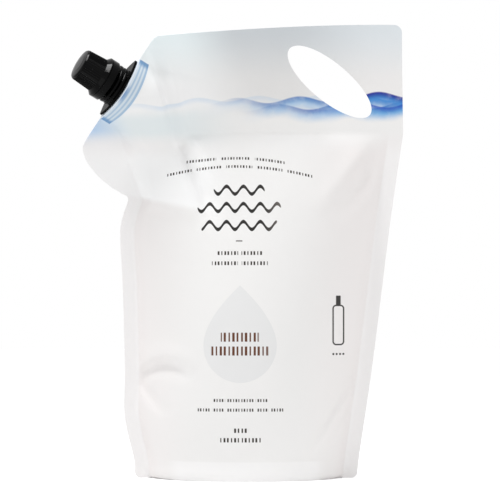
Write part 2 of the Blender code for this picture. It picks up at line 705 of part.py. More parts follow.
def cap_mesh():
    """The screw cap: flared foot, tapered ribbed wall, round edge, inner thread and bore plug."""
    foot = BAND_TOP + BRIDGE_GAP
    ceiling = NECK_TOP + CLEARANCE
    roof = ceiling + CAP_ROOF
    grip = foot + CAP_FOOT + CAP_FLARE
    inner = NECK_RADIUS + THREAD_HEIGHT + THREAD_CLEARANCE
    edge = CAP_EDGE_RADIUS
    plug = BORE_RADIUS - CLEARANCE
    rings = [circle(BAND_RADIUS - BAND_WALL, foot), circle(BAND_RADIUS, foot),
             circle(BAND_RADIUS, foot + CAP_FOOT), circle(CAP_RADIUS, grip),
             ribbed_ring(CAP_RADIUS, grip + GRIP_RUN_IN), ribbed_ring(CAP_END_RADIUS, roof - edge)]
    for number in range(1, 4):
        angle = math.pi / 2 * number / 3
        rings.append(circle(CAP_END_RADIUS - edge + edge * math.cos(angle),
                            roof - edge + edge * math.sin(angle)))
    rings.append(circle(CAP_END_RADIUS / 2, roof + CAP_DOME * 0.8))
    mesh_data = bmesh.new()
    inside = [circle(plug - PLUG_WALL, ceiling), circle(plug - PLUG_WALL, ceiling - PLUG_DEPTH),
              circle(plug - PLUG_LEAD, ceiling - PLUG_DEPTH),
              circle(plug, ceiling - PLUG_DEPTH + PLUG_LEAD_HEIGHT), circle(plug, ceiling),
              circle(inner, ceiling)]
    threads = thread_rings(inner, -THREAD_HEIGHT, THREAD_START + THREAD_PITCH / 2, upwards=False)
    rows = join_rings(mesh_data, inside + threads + [circle(inner, grip)] + rings, closed=False)
    for row, centre in ((rows[0], ceiling), (rows[-1], roof + CAP_DOME)):
        hub = mesh_data.verts.new((0, 0, centre))
        for n in range(len(row)):
            mesh_data.faces.new((row[n], row[(n + 1) % len(row)], hub))
    return mesh_data


def build():
    clear_scene()
    shape = FilmShape()
    frame = spout_frame(shape)
    film = plastic("film", (0.86, 0.88, 0.89), 0.42)
    black = plastic("black_plastic", (0.012, 0.012, 0.013), 0.22)

    pouch = add_object("pouch", film_mesh(shape), film)
    socket = add_object("boat_socket", lens_prism(
        BOAT_LENGTH / 2 + CLEARANCE, BOAT_WIDTH / 2 + CLEARANCE, -BOAT_HEIGHT - CLEARANCE,
        SOCKET_TOP), None, frame)
    add_boolean(pouch, socket, "DIFFERENCE")

    spout = add_object("spout", boat_mesh(), black, frame)
    add_boolean(spout, add_object("neck", neck_mesh(), None, frame), "UNION")
    add_boolean(spout, add_object("bore", bore_mesh(), None, frame), "DIFFERENCE")

    add_object("tamper_band", band_mesh(), black, frame)
    add_object("cap", cap_mesh(), black, frame)


build()
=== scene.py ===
"""Looks of the refill pouch: matt printed film, black mouldings, a white floor and soft light."""
import math

import bmesh
import bpy
import numpy as np
from mathutils import Matrix, Vector
from mathutils.geometry import delaunay_2d_cdt


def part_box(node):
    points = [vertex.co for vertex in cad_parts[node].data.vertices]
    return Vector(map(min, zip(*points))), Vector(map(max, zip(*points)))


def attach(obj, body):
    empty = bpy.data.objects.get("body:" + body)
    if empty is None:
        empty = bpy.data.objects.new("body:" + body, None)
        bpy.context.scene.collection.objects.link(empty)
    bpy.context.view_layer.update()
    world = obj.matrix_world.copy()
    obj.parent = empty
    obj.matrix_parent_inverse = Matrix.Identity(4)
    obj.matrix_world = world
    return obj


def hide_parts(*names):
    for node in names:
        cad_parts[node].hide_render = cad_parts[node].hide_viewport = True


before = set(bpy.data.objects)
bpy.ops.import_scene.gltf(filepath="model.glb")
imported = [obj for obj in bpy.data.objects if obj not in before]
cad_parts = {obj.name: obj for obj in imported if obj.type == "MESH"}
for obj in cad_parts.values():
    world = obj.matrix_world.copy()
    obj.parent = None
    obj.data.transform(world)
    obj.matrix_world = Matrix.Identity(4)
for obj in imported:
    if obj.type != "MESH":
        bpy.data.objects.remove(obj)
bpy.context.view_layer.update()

MM = 0.001

# The film pack in millimetres, after the frame's pouch. A place (x, z) is one of the flat film,
# before its corner is rolled forward.
TOP = 340.0
HALF_WIDTH = 120.5
BODY_TOP = TOP - 82
BASE_HALF_WIDTH = 78.8
SIDE_SEAL = 10.5
FILM = 0.5                         # both layers of a seal
BASE_CORNER = np.array([4.6, 5.2])
TOP_EDGE_FALL = 0.038
TOP_EDGE_BOW = 1.8
TOP_LEFT_RADIUS = 8.0
TOP_RIGHT = np.array([HALF_WIDTH - 3.5, TOP])
TOP_RIGHT_RADIUS = 6.0
NECK = np.array([-88.5, TOP - 131])
EAR_TIP_START = 6.0
EAR_TIP_HEIGHT = TOP - 90.3
# Left side below the neck: share of the neck's height, and how far in from the flat width
LEFT_STATIONS = ((0.07, 36.5), (0.22, 29.7), (0.39, 29.7), (0.68, 28.1), (0.86, 26.1), (0.93, 27.6))
# Right side: share of the body's height, and how far in from the flat width
RIGHT_STATIONS = ((0.09, 34.8), (0.31, 26.4), (0.55, 18.5), (0.75, 12.0), (1.0, 2.5))
# Ear: share of the way from its tip to the neck, and how far it bows out of that line
EAR_STATIONS = ((0.03, 0.6), (0.2, 4.8), (0.45, 6.0), (0.7, 4.2), (0.88, 1.2))
# Filling: share of the body's height, and half its depth there
DEPTH_STATIONS = ((0.0, 43.0), (0.06, 43.6), (0.2, 46.4), (0.43, 43.0), (0.66, 32.5),
                  (0.83, 20.5), (0.95, 8.5), (1.0, 0.0))
# Power of a level section's curve at the base, its rise, and over which share of the body it rises
CURVE_POWER = 0.62
CURVE_POWER_RISE = 0.23
CURVE_POWER_REACH = 0.35
# How far the filling's left side leans out for each millimetre above the neck
FILLING_LEAN = 0.36
# Hand hole: an ellipse
HOLE_CENTRE = np.array([HALF_WIDTH - 58, TOP - 43])
HOLE_AXES = np.array([39.4, 14.3])
HOLE_TILT = math.radians(-39.2)
# Spout: the middle of its welded edge, and the directions along that edge and inwards from it
SPOUT_MIDDLE = np.array([25.1 - HALF_WIDTH, TOP - 46.9])
SPOUT_ANGLE = math.radians(57.3)
SPOUT_ALONG = np.array([math.cos(SPOUT_ANGLE), math.sin(SPOUT_ANGLE)])
SPOUT_INWARD = np.array([SPOUT_ALONG[1], -SPOUT_ALONG[0]])
# Rolled corner: how far and which way it leans, and where the roll starts and how long it is
LEAN_ANGLE = math.radians(22.9)
LEAN_HEADING = math.radians(119.5)
LEAN_DIRECTION = np.array([math.cos(LEAN_HEADING), math.sin(LEAN_HEADING)])
LEAN_START = 94.0
LEAN_LENGTH = 65.0
# Boat in the weld, the film's margin around it, and the channel from it down into the body
BOAT_LENGTH = 48.0
BOAT_WIDTH = 25.0
BOAT_HEIGHT = 12.0
BOAT_MARGIN = 2.0
BOAT_COVER = 1.4
CHANNEL_SPREAD = 0.35
CHANNEL_REACH = 38.0

# Folds of one panel: a line of places (x, z), how far it stands out at its middle, and how wide
# it is on the left and on the right of that line. A negative height is a valley.
FRONT_FOLDS = (
    (((-62, 296), (-52, 258), (-40, 228), (-22, 188)), -7.5, 8.0, 5.0),
    (((-48, 296), (-40, 256), (-26, 226), (-8, 194)), 4.0, 6.0, 15.0),
    (((-104, 218), (-82, 212), (-62, 206), (-34, 198)), 6.0, 24.0, 9.0),
    (((112, 262), (94, 232), (64, 192)), -3.6, 8.0, 11.0),
    (((100, 264), (80, 232), (50, 196)), 2.4, 11.0, 8.0),
    (((-86, 68), (-70, 82), (-56, 84), (-40, 74)), -5.6, 3.4, 6.0),
    (((-86, 78), (-70, 90), (-54, 92), (-36, 82)), 3.2, 8.0, 4.0),
    (((-84, 80), (-74, 64), (-58, 46)), -4.0, 6.0, 3.0),
    (((96, 96), (74, 58), (48, 18)), 5.6, 9.0, 3.4),
    (((104, 94), (80, 56), (54, 16)), -5.6, 3.4, 6.0),
)
BACK_FOLDS = (
    (((-88, 214), (-66, 204), (-38, 190)), -3.4, 8.0, 8.0),
    (((104, 250), (84, 226), (56, 198)), -3.2, 9.0, 9.0),
    (((-38, 254), (-48, 234), (-62, 210)), -2.6, 9.0, 9.0),
    (((-76, 60), (-58, 70), (-40, 74)), -3.0, 6.0, 6.0),
    (((84, 72), (70, 48), (52, 26)), -2.6, 6.0, 6.0),
)
# Bends of the welded header, which both panels follow: as above, forward is positive
BENDS = (
    (((-74, 326), (-64, 296), (-52, 252)), -6.5, 9.0, 3.4),
    (((-66, 326), (-56, 296), (-44, 252)), 3.2, 4.0, 12.0),
    (((-80, 256), (-92, 246), (-106, 236)), 1.8, 9.0, 9.0),
    (((-14, 336), (-4, 300), (6, 256)), 1.1, 16.0, 16.0),
)
# Folds fade out where the filling's half depth is less than this
FOLD_FADE = 5.0

# Bottom seal: its height, how far it stands out, and where that ends on both sides
SKIRT_HEIGHT = 15.0
SKIRT_FLARE = 1.8
SKIRT_ENDS = (42, 66)

# Weld over the boat: its width at the ends and how much more in the middle, and its pressed ribs
WELD_WIDTH = 8.4
WELD_BULGE = 2.2
WELD_HALF_LENGTH = 27.0
WELD_RIBS = 3.5
WELD_RISE = 0.15
RIB_HEIGHT = 0.25

# Underside: where its thin standing rim starts and ends, counted from the panels, the half axes
# of the belly that rests on the floor, and how high the gusset and its crease lie around it
RIM_STEPS = (0.7, 2.0)
RIM_CLEARANCE = 4.0
BELLY = (52, 22)
GUSSET_RISE = 3.5
CREASE_RISE = 0.5

# Mesh: distances between places, the finer one around the spout, and how far that one reaches
FILM_STEP = 2.3
SPOUT_STEP = 1.6
SPOUT_REACH = 38.0
# Lines where the filling starts: a gap at both ends, an offset, and where the header's one starts
SEAL_LINE_GAP = 8
SEAL_LINE_OFFSET = 0.3
HEADER_LINE_START = -40.0


# Curves in the film's plane

def smooth_curve(points, step):
    """Points about a step apart on a Catmull-Rom curve through the given ones."""
    points = [np.array(point, float) for point in points]
    ends = [2 * points[0] - points[1]] + points + [2 * points[-1] - points[-2]]
    curve = []
    for before, start, end, after in zip(ends, ends[1:], ends[2:], ends[3:]):
        pieces = max(1, round(np.linalg.norm(end - start) / step))
        for t in np.arange(pieces) / pieces:
            curve.append(0.5 * (2 * start + (end - before) * t
                                + (2 * before - 5 * start + 4 * end - after) * t ** 2
                                + (3 * start - before - 3 * end + after) * t ** 3))
    return np.array(curve + [points[-1]])


def straight(start, end, step):
    """Points about a step apart from start to end."""
    pieces = max(1, round(np.linalg.norm(end - start) / step))
    return np.linspace(start, end, pieces + 1)


def rounded_corner(before, corner, after, radius, pieces=6):
    """The arc that rounds a corner between two straight neighbours."""
    to_before = (before - corner) / np.linalg.norm(before - corner)
    to_after = (after - corner) / np.linalg.norm(after - corner)
    half = math.acos(float(to_before @ to_after)) / 2
    bisector = (to_before + to_after) / np.linalg.norm(to_before + to_after)
    centre = corner + bisector * radius / math.sin(half)
    reach = radius / math.tan(half)
    first = corner + to_before * reach - centre
    last = corner + to_after * reach - centre
    start = math.atan2(first[1], first[0])
    turn = (math.atan2(last[1], last[0]) - start + math.pi) % math.tau - math.pi
    angles = start + turn * np.linspace(0, 1, pieces + 1)
    return centre + radius * np.stack([np.cos(angles), np.sin(angles)], axis=1)


def top_left_corner():
    """Where the sloping top edge would meet the spout's edge."""
    rise = TOP_RIGHT[1] - SPOUT_MIDDLE[1] - TOP_EDGE_FALL * (TOP_RIGHT[0] - SPOUT_MIDDLE[0])
    return SPOUT_MIDDLE + SPOUT_ALONG * rise / (SPOUT_ALONG[1] - TOP_EDGE_FALL * SPOUT_ALONG[0])


def base_corner(side):
    """The round corner from the base up to one side edge; side is -1 or 1."""
    turns = np.radians(np.arange(15, 90, 15))
    across = BASE_HALF_WIDTH + BASE_CORNER[0] * np.sin(turns)
    return np.stack([side * across, BASE_CORNER[1] * (1 - np.cos(turns))], axis=1)


def left_side():
    """From the ear's tip down past the neck to the base."""
    tip = SPOUT_MIDDLE + SPOUT_ALONG * (EAR_TIP_HEIGHT - SPOUT_MIDDLE[1]) / SPOUT_ALONG[1]
    run = NECK - tip
    outwards = np.array([run[1], -run[0]]) / np.linalg.norm(run)
    ear = [tip + run * share + outwards * bow for share, bow in EAR_STATIONS]
    sides = [(inset - HALF_WIDTH, NECK[1] * share) for share, inset in LEFT_STATIONS]
    lowest = (-BASE_HALF_WIDTH - BASE_CORNER[0], BASE_CORNER[1])
    stations = [tip + SPOUT_ALONG * EAR_TIP_START] + ear + [NECK] + sides[::-1] + [lowest]
    return np.concatenate([smooth_curve(stations, FILM_STEP), base_corner(-1)[::-1]])


def right_side():
    """From the base up past the round top corner."""
    sides = [np.array((HALF_WIDTH - inset, BODY_TOP * share)) for share, inset in RIGHT_STATIONS]
    corner = rounded_corner(sides[-1], TOP_RIGHT, top_left_corner(), TOP_RIGHT_RADIUS)
    lowest = (BASE_HALF_WIDTH + BASE_CORNER[0], BASE_CORNER[1])
    body = smooth_curve([lowest] + sides, FILM_STEP)
    upper = straight(sides[-1], corner[0], FILM_STEP)[1:]
    return np.concatenate([base_corner(1), body, upper, corner[1:]])


def film_outline():
    """The outline's bottom edge, and the rest of it anticlockwise."""
    base = straight(np.array([-BASE_HALF_WIDTH, 0]), np.array([BASE_HALF_WIDTH, 0]), FILM_STEP)
    right, left = right_side(), left_side()
    corner = rounded_corner(right[-1], top_left_corner(), left[0], TOP_LEFT_RADIUS)
    top = straight(right[-1], corner[0], FILM_STEP)
    share = np.linspace(0, 1, len(top))
    top[:, 1] += 4 * TOP_EDGE_BOW * share * (1 - share)
    top = top[1:]
    spout_edge = straight(corner[-1], left[0], SPOUT_STEP)[1:]
    return base, np.concatenate([right, top, corner[1:], spout_edge, left[1:]])


def hand_hole():
    """The hole's edge, anticlockwise."""
    angles = np.linspace(0, math.tau, 110, endpoint=False)
    spokes = np.stack([HOLE_AXES[0] * np.cos(angles), HOLE_AXES[1] * np.sin(angles)])
    turn = np.array([[math.cos(HOLE_TILT), -math.sin(HOLE_TILT)],
                     [math.sin(HOLE_TILT), math.cos(HOLE_TILT)]])
    return HOLE_CENTRE + (turn @ spokes).T


# Depth of the pack at many places at once

def ease(low, high, value):
    """0 below low, 1 above high and smooth between."""
    share = np.clip((value - low) / (high - low), 0, 1)
    return share * share * (3 - 2 * share)


def fold_height(places, points, height, left_width, right_width):
    """A round-topped ridge along a curve that dies out towards both of its ends."""
    line = smooth_curve(points, 5)
    starts, runs = line[:-1], np.diff(line, axis=0)
    reach = places[:, None] - starts
    share = np.clip((reach * runs).sum(axis=2) / (runs ** 2).sum(axis=1), 0, 1)
    away = reach - share[:, :, None] * runs
    distance = np.linalg.norm(away, axis=2)
    nearest = distance.argmin(axis=1)
    rows = np.arange(len(places))
    run, off = runs[nearest], away[rows, nearest]
    on_left = run[:, 0] * off[:, 1] > run[:, 1] * off[:, 0]
    width = np.where(on_left, left_width, right_width)
    along = (nearest + share[rows, nearest]) / len(runs)
    return height * np.sin(math.pi * along) * np.exp(-(distance[rows, nearest] / width) ** 2)


def skirt_flare(places):
    """The bottom seal stands a little outwards between the rounded corners."""
    low = 1 - ease(2, SKIRT_HEIGHT, places[:, 1])
    return SKIRT_FLARE * low * (1 - ease(*SKIRT_ENDS, np.abs(places[:, 0])))


class FilmShape:
    """The leaning middle surface of the pack and the half depth of its filling."""

    def __init__(self):
        right, left = right_side(), left_side()[::-1]
        self.right = np.concatenate([[(BASE_HALF_WIDTH, 0)], right])
        self.left = np.concatenate([[(-BASE_HALF_WIDTH, 0)], left])
        self.depths = smooth_curve([(share * BODY_TOP, depth) for share, depth in DEPTH_STATIONS], 2)
        self.lean_from = SPOUT_MIDDLE - LEAN_DIRECTION * LEAN_START

    def filling_sides(self, height):
        """Both sides of the filling; the left one leans out from the neck to the spout."""
        above_neck = np.maximum(0, height - NECK[1])
        left = np.interp(np.minimum(height, NECK[1]), self.left[:, 1], self.left[:, 0])
        right = np.interp(height, self.right[:, 1], self.right[:, 0])
        return left + SIDE_SEAL - FILLING_LEAN * above_neck, right - SIDE_SEAL

    def inside_seals(self, places):
        """How far places are inside the side seals: negative in the seals themselves."""
        left, right = self.filling_sides(places[:, 1])
        return np.minimum(places[:, 0] - left, right - places[:, 0])

    def body_depth(self, x, height):
        """Half the depth of the filling."""
        left, right = self.filling_sides(height)
        across = np.clip((2 * x - left - right) / (right - left), -1, 1)
        rise = np.minimum(1, height / (CURVE_POWER_REACH * BODY_TOP))
        power = CURVE_POWER + CURVE_POWER_RISE * rise
        middle = np.interp(height, self.depths[:, 0], self.depths[:, 1])
        return np.maximum(0, middle) * (1 - across ** 2) ** power

    def spout_place(self, x, height):
        """Distance along the welded edge from its middle, and inwards from it."""
        place = np.stack([x, height], axis=-1) - SPOUT_MIDDLE
        return place @ SPOUT_ALONG, place @ SPOUT_INWARD

    def channel_depth(self, x, height):
        """The film stretched over the boat and the way down from it into the body."""
        along, inward = self.spout_place(x, height)
        past_boat = np.maximum(0, inward - BOAT_HEIGHT - BOAT_MARGIN)
        half_length = BOAT_LENGTH / 2 + BOAT_MARGIN + CHANNEL_SPREAD * past_boat
        depth = (BOAT_WIDTH / 2 + BOAT_COVER) * np.exp(-(past_boat / CHANNEL_REACH) ** 2)
        return depth * np.maximum(0, 1 - (along / half_length) ** 2)

    def weld_relief(self, x, height):
        """The pressed ribs of the weld over the boat."""
        along, inward = self.spout_place(x, height)
        width = WELD_WIDTH + WELD_BULGE * (1 - (along / WELD_HALF_LENGTH) ** 2)
        share = inward / width
        in_length = 1 - ease(0.96, 1.02, np.abs(along) / WELD_HALF_LENGTH)
        in_width = 1 - ease(0.93, 1, share)
        ribs = 0.5 - 0.5 * np.cos(share * math.tau * WELD_RIBS)
        return in_length * in_width * (WELD_RISE + RIB_HEIGHT * ribs)

    def folds(self, places, side):
        """How far folds push one panel out, eased towards the welded margins."""
        folds = FRONT_FOLDS if side == "front" else BACK_FOLDS
        push = sum(fold_height(places, *fold) for fold in folds)
        return push * np.minimum(1, self.body_depth(places[:, 0], places[:, 1]) / FOLD_FADE)

    def roll(self, places):
        """Where places of the flat film lie once its corner is rolled forward, and their normals."""
        ahead = (places - self.lean_from) @ LEAN_DIRECTION
        radius = LEAN_LENGTH / LEAN_ANGLE
        angle = np.clip(ahead, 0, LEAN_LENGTH) / radius
        past = np.maximum(0, ahead - LEAN_LENGTH)
        level = np.minimum(ahead, 0) + radius * np.sin(angle) + past * np.cos(angle)
        forward = radius * (1 - np.cos(angle)) + past * np.sin(angle)
        lying = places - (ahead - level)[:, None] * LEAN_DIRECTION
        tilt = np.sin(angle)[:, None] * LEAN_DIRECTION
        middle = np.column_stack([lying[:, 0], -forward, lying[:, 1]])
        return middle, np.column_stack([tilt[:, 0], np.cos(angle), tilt[:, 1]])

    def panel(self, places, side):
        """Points of the front or back panel for places (x, z) of the flat film."""
        x, height = places[:, 0], places[:, 1]
        middle, normal = self.roll(places)
        depth = np.hypot(self.body_depth(x, height), self.channel_depth(x, height)) + FILM / 2
        depth = depth + self.folds(places, side) + self.weld_relief(x, height) + skirt_flare(places)
        forward = sum(fold_height(places, *bend) for bend in BENDS)
        reach = depth - forward if side == "back" else -depth - forward
        return middle + normal * reach[:, None]


# Film mesh

def inside(places, ring):
    """Which places lie inside a closed ring."""
    x, y = places[:, 0, None], places[:, 1, None]
    after = np.roll(ring, -1, axis=0)
    crosses = (ring[:, 1] > y) != (after[:, 1] > y)
    rise = np.where(after[:, 1] == ring[:, 1], 1, after[:, 1] - ring[:, 1])
    reach = ring[:, 0] + (after[:, 0] - ring[:, 0]) * (y - ring[:, 1]) / rise
    return (crosses & (reach > x)).sum(axis=1) % 2 == 1


def clear_of(places, others, distance):
    """Which places keep a distance from all the others."""
    return np.array([np.min(np.sum((others - place) ** 2, axis=1)) > distance ** 2
                     for place in places], bool)


def grid(low, high, step):
    """Even rows of places, each second row shifted by half a step."""
    rows = np.arange(low[1], high[1], step * 0.87)
    columns = np.arange(low[0], high[0], step)
    return np.array([(column + step / 2 * (number % 2), row)
                     for number, row in enumerate(rows) for column in columns])


def triangles_between(outline, holes, creases, inner):
    """Triangles that fill an outline around its holes and keep its creases as edges."""
    points, edges = [], []
    for ring in [outline] + holes:
        first = len(points)
        points += [Vector(point) for point in ring]
        edges += [(first + n, first + (n + 1) % len(ring)) for n in range(len(ring))]
    for crease in creases:
        first = len(points)
        points += [Vector(point) for point in crease]
        edges += [(first + n, first + n + 1) for n in range(len(crease) - 1)]
    points += [Vector(point) for point in inner]
    within_edges = 1
    points, _, faces, *_ = delaunay_2d_cdt(points, edges, [], within_edges, 1e-5)
    points = np.array([tuple(point) for point in points])
    faces = np.array(faces)
    for hole in holes:
        faces = faces[~inside(points[faces].mean(axis=1), hole)]
    return points, faces


def seal_lines(shape):
    """Where the filled body starts along both side seals and under the header."""
    heights = np.arange(SEAL_LINE_GAP, BODY_TOP - SEAL_LINE_GAP, FILM_STEP)
    left, right = shape.filling_sides(heights)
    left_line = np.stack([left + SEAL_LINE_OFFSET, heights], axis=1)[heights < NECK[1]]
    right_line = np.stack([right - SEAL_LINE_OFFSET, heights], axis=1)
    start, end = np.array([HEADER_LINE_START, BODY_TOP]), np.array([right[-1] - 3, BODY_TOP])
    return [left_line, right_line, straight(start, end, FILM_STEP)]


def film_places(outline, hole, creases):
    """Places over the whole film, closer together around the boat."""
    places = []
    for step, near in ((FILM_STEP, False), (SPOUT_STEP, True)):
        found = grid((-1.1 * HALF_WIDTH, 0), (1.1 * HALF_WIDTH, TOP), step)
        found = found[(np.linalg.norm(found - SPOUT_MIDDLE, axis=1) < SPOUT_REACH) == near]
        found = found[inside(found, outline)]
        found = found[~inside(found, hole)]
        found = found[clear_of(found, np.concatenate([outline, hole] + creases), 0.6 * step)]
        places.append(found)
    return np.concatenate(places)


def underside(front, back):
    """The gusset between the panels' bottom edges: a thin standing rim and a resting belly."""
    ring = np.concatenate([front, back[::-1]])[:, :2]
    limit = np.abs(ring[:, 1]).max()
    inner = grid((-BASE_HALF_WIDTH, -limit), (BASE_HALF_WIDTH, limit), FILM_STEP)
    inner = inner[inside(inner, ring)]
    inner = inner[clear_of(inner, ring, RIM_CLEARANCE)]
    steps = []
    for inset in RIM_STEPS:
        line = ring[np.abs(ring[:, 1]) > 5].copy()
        line[:, 1] -= inset * np.sign(line[:, 1])
        steps.append(np.concatenate([line, line[:1]]))
    points, faces = triangles_between(ring, [], steps, inner)
    x, y = points[:, 0], points[:, 1]
    depth = np.interp(x, front[:, 0], -front[:, 1])
    rim = ease(*RIM_STEPS, depth - np.abs(y))
    off_belly = ease(1.0, 1.45, np.hypot(x / BELLY[0], y / BELLY[1]))
    crease = CREASE_RISE * np.exp(-(y / 2.5) ** 2) * ease(20, 60, np.abs(x))
    return np.column_stack([x, y, (GUSSET_RISE * off_belly + crease) * rim]), faces


class Surface:
    """Points of a mesh with their places of the flat film, and its faces, added part by part."""

    def __init__(self):
        self.points = np.empty((0, 3))
        self.places = np.empty((0, 2))
        self.faces = []

    def add(self, points, places, faces):
        self.faces.extend((faces + len(self.points)).tolist())
        self.points = np.concatenate([self.points, points])
        self.places = np.concatenate([self.places, places])


def film_surface(shape):
    """Front and back panels, their joined edges, the hand hole's edge and the gusset."""
    base, rest = film_outline()
    outline, hole = np.concatenate([base, rest]), hand_hole()
    creases = seal_lines(shape)
    places, faces = triangles_between(outline, [hole], creases,
                                      film_places(outline, hole, creases))
    surface = Surface()
    surface.add(shape.panel(places, "front"), places, faces)
    surface.add(shape.panel(places, "back"), places, faces[:, ::-1])
    for edge in (np.concatenate([base[-1:], rest, base[:1]]), np.concatenate([hole, hole[:1]])):
        size = len(edge)
        first = np.arange(size - 1)
        surface.add(np.concatenate([shape.panel(edge, "front"), shape.panel(edge, "back")]),
                    np.concatenate([edge, edge]),
                    np.stack([first, first + size, first + size + 1, first + 1], axis=1))
    under, faces = underside(shape.panel(base, "front"), shape.panel(base, "back"))
    surface.add(under, under[:, [0, 2]], faces)
    return surface


def film_mesh():
    """The film as one closed mesh whose points know their place of the flat film."""
    shape = FilmShape()
    surface = film_surface(shape)
    mesh = bpy.data.meshes.new("film_pack")
    mesh.from_pydata((surface.points * MM).tolist(), [], surface.faces)
    film_place = mesh.attributes.new("film_place", "FLOAT_VECTOR", "POINT")
    values = np.column_stack([surface.places, shape.inside_seals(surface.places)])
    film_place.data.foreach_set("vector", values.ravel())
    solid = bmesh.new()
    solid.from_mesh(mesh)
    bmesh.ops.remove_doubles(solid, verts=solid.verts, dist=0.01 * MM)
    bmesh.ops.recalc_face_normals(solid, faces=solid.faces)
    solid.to_mesh(mesh)
    solid.free()
    mesh.shade_smooth()
    mesh.set_sharp_from_angle(angle=math.radians(50))
    return mesh


# Shader nodes

class Nodes:
    """Builds a material's node tree from short calls; values are sockets or numbers."""

    def __init__(self, material):
        material.use_nodes = True
        self.tree = material.node_tree
        self.shader = self.tree.nodes["Principled BSDF"]

    def new(self, kind, **settings):
        node = self.tree.nodes.new(kind)
        for name, value in settings.items():
            setattr(node, name, value)
        return node

    def put(self, socket, value):
        """Links a socket, sets a number, or leaves the socket as it is for None."""
        if isinstance(value, bpy.types.NodeSocket):
            self.tree.links.new(value, socket)
        elif value is not None:
            socket.default_value = value

    def math(self, operation, *values):
        node = self.new("ShaderNodeMath", operation=operation)
        for socket, value in zip(node.inputs, values):
            self.put(socket, value)
        return node.outputs[0]

    def total(self, *values):
        result = values[0]
        for value in values[1:]:
            result = self.math("ADD", result, value)
        return result

    def product(self, *values):
        result = values[0]
        for value in values[1:]:
            result = self.math("MULTIPLY", result, value)
        return result

    def ramp(self, value, low, high, smooth=True):
        """0 at low and 1 at high; low may be the higher number."""
        node = self.new("ShaderNodeMapRange", interpolation_type="SMOOTHSTEP" if smooth else "LINEAR")
        self.put(node.inputs[0], value)
        if low < high:
            node.inputs[1].default_value, node.inputs[2].default_value = low, high
            return node.outputs[0]
        node.inputs[1].default_value, node.inputs[2].default_value = high, low
        node.inputs[3].default_value, node.inputs[4].default_value = 1.0, 0.0
        return node.outputs[0]

    def blend(self, share, first, second):
        """A mix of two colours."""
        node = self.new("ShaderNodeMix", data_type="RGBA")
        self.put(node.inputs[0], share)
        for socket, value in ((node.inputs[6], first), (node.inputs[7], second)):
            self.put(socket, (*value, 1.0) if isinstance(value, tuple) else value)
        return node.outputs[2]

    def noise(self, vector, scale, detail=2.0, roughness=0.5):
        node = self.new("ShaderNodeTexNoise")
        self.put(node.inputs["Vector"], vector)
        node.inputs["Scale"].default_value = scale
        node.inputs["Detail"].default_value = detail
        node.inputs["Roughness"].default_value = roughness
        return node.outputs[0]

    def object_place(self):
        """Object coordinates in millimetres."""
        place = self.new("ShaderNodeVectorMath", operation="SCALE")
        self.put(place.inputs[0], self.new("ShaderNodeTexCoord").outputs["Object"])
        place.inputs["Scale"].default_value = 1 / MM
        return place.outputs[0]

    def parts(self, vector):
        """The three parts of a vector."""
        node = self.new("ShaderNodeSeparateXYZ")
        self.put(node.inputs[0], vector)
        return node.outputs

    def bump(self, height, distance, strength=1.0, normal=None):
        node = self.new("ShaderNodeBump")
        node.inputs["Strength"].default_value = strength
        node.inputs["Distance"].default_value = distance
        self.put(node.inputs["Height"], height)
        self.put(node.inputs["Normal"], normal)
        return node.outputs[0]


def srgb(red, green, blue):
    """Linear colour from screen values of 0 to 255."""
    return tuple(value / 12.92 if value <= 0.04045 else ((value + 0.055) / 1.055) ** 2.4
                 for value in (red / 255, green / 255, blue / 255))


BODY_WHITE = srgb(240, 239, 238)
# Painted highlight: the shoulder above the neck is painted paler for the light it catches
SHOULDER_PAINTED_LIGHT = srgb(250, 250, 250)
WARM_WHITE = srgb(240, 236, 235)
# Painted shade: a little darker just inside the seals, where the filled film meets them
SEAL_CREASE_SHADE = srgb(239, 235, 234)
# Partly the welded seals' own paler tone, partly painted light: rim light on the side seals and a lit
# band on the bottom seal
SEAL_TONE_AND_RIM_LIGHT = srgb(246, 245, 245)
DROP_GREY = srgb(231, 231, 231)
SMALL_INK = srgb(36, 26, 20)
TITLE_INK = srgb(12, 6, 2)
FADED_INK = srgb(104, 98, 94)
BROWN_INK = srgb(88, 40, 0)


# Print on the film, drawn in millimetres of the flat film

